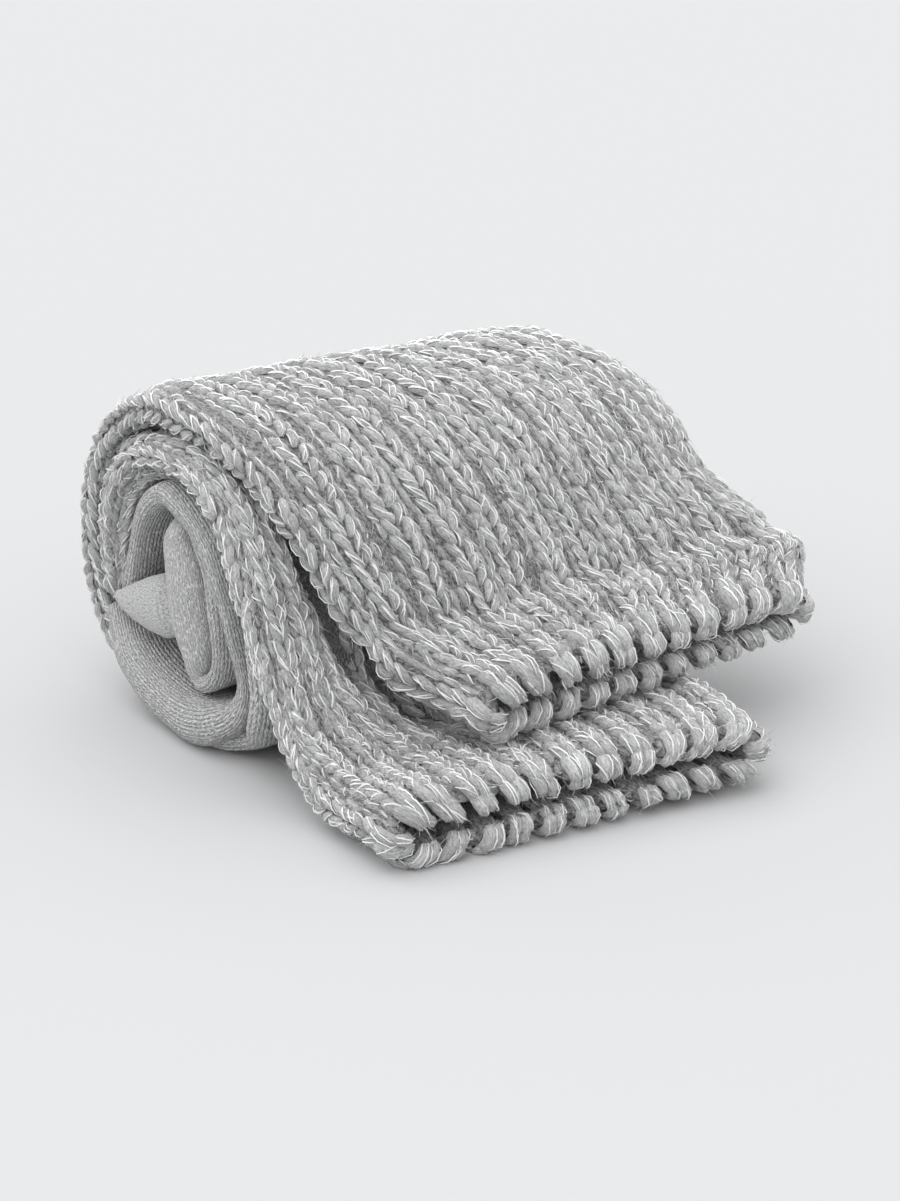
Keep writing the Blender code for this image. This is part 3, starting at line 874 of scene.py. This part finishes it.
def knit_yarn(name, laid, strips, rng, material):
    """Many strands of yarn as one mesh."""
    count, rings = laid.paths.shape[:2]
    t = np.linspace(0.0, 1.0, rings)[None]
    fat = rng.uniform(*YARN_VARIES, (count, 1))
    thick = laid.radius[:, None] * METRES * fat * taper(t)
    points, faces, angle = strands(laid.paths, laid.normals, thick, strips)
    item = new_object(name, keep_above_floor(points), faces, material)
    radius = laid.radius[:, None, None]
    along = pattern_place(rng, count, angle, t)
    add_vectors(item, "yarn_place", along, radius * np.cos(angle), radius * np.sin(angle))
    add_numbers(item, "tone", laid.tone[:, None, None] + 0 * angle)
    return item


def along_paths(paths, index, t):
    """Points at the shares t (one row for each index) of the way along the chosen paths."""
    last = paths.shape[1] - 1
    place = np.clip(t, 0.0, 1.0) * last
    low = np.minimum(place.astype(int), last - 1)
    share = (place - low)[..., None]
    return paths[index[:, None], low] * (1 - share) + paths[index[:, None], low + 1] * share


def knit_thread(name, laid, strokes, rng, material):
    """The thin white thread that shows on the yarn, in short strokes winding a little round each strand."""
    often = (rng.uniform(0, 1, len(laid.paths)) + strokes.often).astype(int)
    index = np.repeat(np.arange(len(laid.paths)), often)
    count = len(index)
    length = rng.uniform(0.5 * strokes.longest, strokes.longest, (count, 1))
    start = rng.uniform(0.0, 1.0, (count, 1)) * (1.0 - length)
    steps = np.linspace(0.0, 1.0, THREAD_RINGS)[None]
    t = start + length * steps
    centre = along_paths(laid.paths, index, t)
    normal = unit(along_paths(laid.normals, index, t))
    tangent = unit(np.gradient(centre, axis=1))
    side = unit(np.cross(tangent, normal))
    wind = rng.normal(0.0, THREAD_ROUND_YARN, (count, 1))
    wind = (wind + rng.normal(0.0, THREAD_WINDS, (count, 1)) * (steps - 0.5))[..., None]
    stand = rng.uniform(*THREAD_BOWS_OUT, (count, 1)) * np.sin(steps * math.pi)
    out = ((laid.radius[index][:, None] * taper(t) + THREAD_CLEAR + stand) * METRES)[..., None]
    line = centre + out * (np.cos(wind) * np.cross(side, tangent) + np.sin(wind) * side)
    thick = THREAD_RADIUS * METRES * rng.uniform(*THREAD_VARIES, (count, 1)) * taper(steps)
    points, faces, angle = strands(line, normal, thick, THREAD_STRIPS)
    item = new_object(name, keep_above_floor(points), faces, material)
    along = pattern_place(rng, count, angle, t)
    add_vectors(item, "yarn_place", along, 0 * along, 0 * along)
    return item


def knit_fibres(name, laid, kind, count, rng, material):
    """Fibres of the yarn, thin curved ribbons: napped along the strands, or standing loose out of them."""
    index = rng.integers(0, len(laid.paths), count)
    t = rng.uniform(*FIBRE_ALONG, (count, 1))
    centre = along_paths(laid.paths, index, t)[:, 0]
    normal = unit(along_paths(laid.normals, index, t)[:, 0])
    tangent = unit(laid.paths[index, -1] - laid.paths[index, 0])
    side = unit(np.cross(tangent, normal))
    round_yarn = rng.normal(0, FIBRE_ROUND_YARN, count)[:, None]
    out = np.cos(round_yarn) * normal + np.sin(round_yarn) * side
    root = centre + out * laid.radius[index][:, None] * METRES * rng.uniform(*FIBRE_ROOT, (count, 1))
    rise = rng.uniform(kind.rise_from, kind.rise_to, (count, 1))
    way = np.where(rng.uniform(0, 1, (count, 1)) < 0.5, -1.0, 1.0)
    lean = unit(tangent * way + side * rng.normal(0, FIBRE_STRAYS, (count, 1)) + out * rise)
    curl = side * rng.normal(0, FIBRE_CURLS_ASIDE, (count, 1))
    curl = curl + out * rng.normal(*FIBRE_CURLS_OUT, (count, 1))
    size = np.minimum(rng.gamma(FIBRE_GAMMA, kind.length, count), FIBRE_LONGEST)[:, None, None] * METRES
    steps = np.linspace(0, 1, FIBRE_RINGS)[:, None]
    line = root[:, None] + size * (lean[:, None] * steps + 0.5 * curl[:, None] * steps**2)
    across = unit(np.cross(lean, out))[:, None]
    half = rng.uniform(*FIBRE_VARIES, (count, 1, 1)) * kind.width * METRES / 2
    half = half * np.array(FIBRE_NARROWS)[:, None]
    points = np.stack([line - across * half, line + across * half], 2).reshape(-1, 3)
    item = new_object(name, keep_above_floor(points), many_grids(count, FIBRE_RINGS, 2), material)
    along = np.repeat(rng.uniform(0, PATTERN_SIZE, count), FIBRE_RINGS * 2)
    add_vectors(item, "yarn_place", along, 0 * along, 0 * along)
    return item


# ---------------------------------------------------------------- walls
def backing_height(wall, v, turn):
    """Height of the knit behind the stitches, which follows the ribs, more deeply at the lip."""
    at_lip = wall.near_lip(v)
    ground = wall.section(abs(v))[0].ribs - BACKING_BELOW - BACKING_BELOW_AT_LIP * at_lip
    return ground + (BACKING_RIBS + BACKING_RIBS_AT_LIP * at_lip) * rib_profile(turn)


def shell(name, wall, first, last, kind, material):
    """The knitted tube as a closed wall: outer skin from the far end to the cuff, inner skin back again."""
    turn = np.arange(kind.around) / kind.around
    outer = np.linspace(last, first, max(4, int((last - first) / kind.step)))
    coarse = INNER_SKIN_COARSER * kind.step
    back = np.linspace(max(first, 0.0), last, max(4, int((last - first) / coarse)))
    rings = [wall.points(v, turn, kind.rib_share * backing_height(wall, v, turn)) for v in outer]
    for v in back:
        row = wall.section(v)[0]
        deepest = row.thick / 2 - row.ribs - INNER_SKIN_CLEAR
        rings.append(wall.points(v, turn, -np.minimum(kind.depth, deepest)))
    rings = np.array(rings)
    faces = grid_faces(len(rings), kind.around, closed=True)
    item = new_object(name, rings.reshape(-1, 3), faces, material)
    along = np.repeat(np.concatenate([outer, -INNER_SKIN_PLACE - back]), kind.around)
    across = np.tile(np.abs(turn - 0.5) * wall.girth(), len(rings))
    add_vectors(item, "cloth_place", along, across, 0 * along)
    return item


def dress(items):
    """Pieces ride on the one body."""
    for item in items:
        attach(item, "root")


def make_leg(leg, wall, yarns, materials):
    """One sock's chunky leg: wall, stitches, white thread and fibres."""
    rng = np.random.default_rng(leg.seed)
    name = leg.name
    body = shell(name + "_wall", wall, -wall.lip - CUFF_INSIDE, leg.end, LEG_SHELL, materials["backing"])
    valley = in_valley(yarns.side)
    ribs = lay(wall, chosen(yarns, ~valley), YARN_RADIUS, rng)
    valleys = lay(wall, chosen(yarns, valley), VALLEY_RADIUS, rng)
    # Strands in the valleys get a darker tone: painted shade between the ribs.
    valleys = valleys._replace(tone=valleys.tone * VALLEY_SHADE)
    everywhere = joined([ribs, valleys])
    yarn, thread, fibre = materials["yarn"], materials["thread"], materials["fibre"]
    pieces = [
        knit_yarn(name + "_stitches", ribs, YARN_STRIPS, rng, yarn),
        knit_yarn(name + "_purl", valleys, VALLEY_STRIPS, rng, yarn),
        knit_thread(name + "_thread", ribs, RIB_STROKES, rng, thread),
        knit_thread(name + "_purl_thread", valleys, VALLEY_STROKES, rng, thread),
        knit_fibres(name + "_nap", everywhere, NAP, leg.nap, rng, fibre),
        knit_fibres(name + "_fibres", everywhere, LOOSE, leg.loose, rng, fibre),
    ]
    dress([body] + pieces)
    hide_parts(leg.node)
    flat = (wall.girth() * METRES, leg.end * METRES)


def make_foot(name, node, wall, start, kind, material):
    """One stretch of fine-knit foot, from a place along its table to the table's end."""
    body = shell(name, wall, start, wall.length, kind, material)
    dress([body])
    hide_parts(node)
    wall.girth() * METRES


# The feet rolled up inside: material, and how round their side folds are.
FOOT_LOOKS = {
    "foot_outer_turn": ("jersey", 0.6),
    "foot_inner_turn": ("jersey", 1.0),
    # The toe's material holds painted shade.
    "foot_toe": ("toe", 0.5),
    "foot_fold": ("lining", 0.4),
}
FOOT_UNDER_LEG = 2.0  # how far the upper sock's foot reaches into its leg


# ---------------------------------------------------------------- stage
CAMERA_AZIMUTH = 54.0
CAMERA_ELEVATION = 23.5
LENS = 70.0
SENSOR = 36.0
PHOTO_SIZE = (900, 1201)
ROLL_FOOT_PIXEL = (188, 738)
PIXELS_PER_METRE = 3950.0
FLOOR_HALF = 12.0  # metres, as is the next line
FLOOR_BELOW = 0.0001
FLOOR_COLOUR = (0.555, 0.558, 0.565, 1.0)
WHITE = (1.0, 1.0, 1.0, 1.0)
SKY_STRENGTH = 0.70

# Suns so wide that they are soft: strength, angle across in degrees, and where they stand.
Light = namedtuple("Light", "name strength angle direction")
SOFT_LIGHTS = (
    Light("key", 1.6, 100.0, (-0.55, -0.35, 1.0)),
    Light("overhead", 1.15, 110.0, (0.1, 0.0, 1.0)),
)


def make_camera():
    """Camera at the photo's angle: the roll's near foot lies at its pixel, at the photo's scale there."""
    a, e = math.radians(CAMERA_AZIMUTH), math.radians(CAMERA_ELEVATION)
    right = np.array([math.cos(a), math.sin(a), 0.0])
    back = np.array([math.sin(a) * math.cos(e), -math.cos(a) * math.cos(e), math.sin(e)])
    up = np.cross(back, right)
    focal = LENS / SENSOR * PHOTO_SIZE[1]
    away = focal / PIXELS_PER_METRE
    foot = np.array([-TABLE_MIDDLE[0], -TABLE_MIDDLE[1], 0.0]) * METRES
    off_x = (ROLL_FOOT_PIXEL[0] - PHOTO_SIZE[0] / 2) / PIXELS_PER_METRE
    off_y = (ROLL_FOOT_PIXEL[1] - PHOTO_SIZE[1] / 2) / PIXELS_PER_METRE
    place = foot + back * away - right * off_x + up * off_y
    data = bpy.data.cameras.new("camera")
    data.lens = LENS
    data.sensor_width = SENSOR
    data.clip_start = 0.01
    camera = bpy.data.objects.new("camera", data)
    bpy.context.scene.collection.objects.link(camera)
    axes = [[right[k], up[k], back[k], place[k]] for k in range(3)]
    camera.matrix_world = Matrix(axes + [[0, 0, 0, 1]])
    bpy.context.scene.camera = camera


def make_floor():
    """Plain pale floor."""
    material, tree, shader = new_material("pale_floor")
    shader.inputs["Base Color"].default_value = FLOOR_COLOUR
    shader.inputs["Roughness"].default_value = 1.0
    shader.inputs["Specular IOR Level"].default_value = 0.0
    corners = [(-FLOOR_HALF, -FLOOR_HALF, 0), (FLOOR_HALF, -FLOOR_HALF, 0)]
    corners += [(FLOOR_HALF, FLOOR_HALF, 0), (-FLOOR_HALF, FLOOR_HALF, 0)]
    floor = new_object("floor", corners, [(0, 1, 2, 3)], material, smooth=False)
    floor.location.z = -FLOOR_BELOW


def make_light():
    """Soft studio light from the upper left and above, in white surroundings."""
    world = bpy.data.worlds.new("studio")
    world.use_nodes = True
    background = world.node_tree.nodes["Background"]
    background.inputs["Color"].default_value = WHITE
    background.inputs["Strength"].default_value = SKY_STRENGTH
    bpy.context.scene.world = world
    for light in SOFT_LIGHTS:
        sun = bpy.data.lights.new(light.name, "SUN")
        sun.energy = light.strength
        sun.angle = math.radians(light.angle)
        item = bpy.data.objects.new(light.name, sun)
        item.rotation_euler = Vector(light.direction).to_track_quat("Z", "Y").to_euler()
        bpy.context.scene.collection.objects.link(item)
    bpy.context.scene.view_settings.view_transform = "Standard"


def main():
    materials = {
        "yarn": yarn_material(),
        "thread": thread_material(),
        "backing": shaded_backing_material(),
        "fibre": fibre_material(),
        "jersey": jersey_material(FINE_JERSEY),
        "toe": jersey_material(SHADED_BRUSHED_JERSEY),
        "lining": jersey_material(SMOOTH_LINING),
    }
    make_camera()
    make_floor()
    make_light()

    rng = np.random.default_rng(SEED)
    upper = Wall(UPPER_SOCK, upper_swell, crowd=upper_crowd)
    yarns = joined([stitch_strands(rng, upper, stretch) for stretch in UPPER_STRETCHES])
    make_leg(UPPER_LEG, upper, yarns, materials)
    foot_start = UPPER_LEG.end - FOOT_UNDER_LEG
    make_foot("upper_foot", "upper_sock", upper, foot_start, UNDER_FOOT_SHELL, materials["jersey"])

    lower = Wall(LOWER_SOCK, lower_swell, crowd=lower_crowd)
    yarns = joined([stitch_strands(rng, lower, stretch) for stretch in LOWER_STRETCHES])
    make_leg(LOWER_LEG, lower, yarns, materials)

    for name, rows in INNER_FEET.items():
        look, fold = FOOT_LOOKS[name]
        wall = Wall(rows, foot_swell, fold)
        make_foot(name, "rolled_feet", wall, 0.0, ROLLED_FOOT_SHELL, materials[look])


main()
